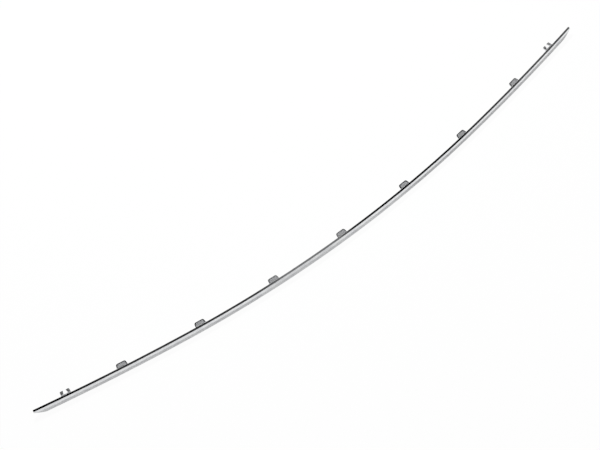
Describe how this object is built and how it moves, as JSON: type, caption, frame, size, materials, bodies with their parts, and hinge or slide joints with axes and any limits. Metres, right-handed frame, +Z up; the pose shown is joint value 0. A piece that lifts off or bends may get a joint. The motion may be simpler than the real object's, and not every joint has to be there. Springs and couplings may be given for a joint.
{
  "type": "bumper chrome trim",
  "caption": "Slim bowed chrome trim strip for a bumper: crowned face, hollow back, rear clip tabs, forked end tabs and mitred closed ends.",
  "frame": {"origin": "middle of the strip's footprint on the floor plane", "axes": "+X along the strip, +Y rearward to the bumper, +Z up; the bowed face looks along -Y"},
  "size_m": [1.3004, 0.0828, 0.018],
  "materials": {
    "chrome_plating": "bright chrome plate on moulded ABS, satin on the tabs and the back"
  },
  "bodies": {
    "root": {"bumper_trim": "chrome_plating"}
  },
  "joints": []
}
